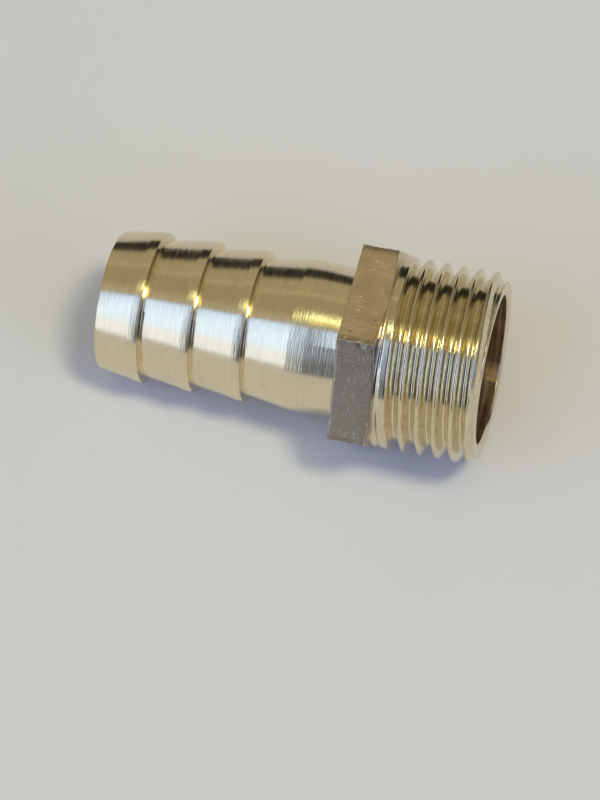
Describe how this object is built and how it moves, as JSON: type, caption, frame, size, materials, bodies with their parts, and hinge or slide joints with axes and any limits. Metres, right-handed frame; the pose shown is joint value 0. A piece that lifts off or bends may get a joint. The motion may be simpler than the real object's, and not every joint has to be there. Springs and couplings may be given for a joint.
{
  "type": "hose barb tail",
  "caption": "Straight brass hose barb tail: barbed tail for a hose on one side of a hexagon, parallel male pipe thread on the other, bored through.",
  "frame": {"origin": "on the fitting's axis, in the plane where the threaded shank leaves the hexagon", "axes": "+X along the axis towards the thread end; -Z is the hexagon flat that faces down as the fitting lies on a bench; +Y completes the right-handed frame"},
  "size_m": [0.0422, 0.0242, 0.021],
  "materials": {
    "turned_brass": "turned, bright"
  },
  "bodies": {
    "root": {"hose_barb_tail": "turned_brass"}
  },
  "joints": []
}
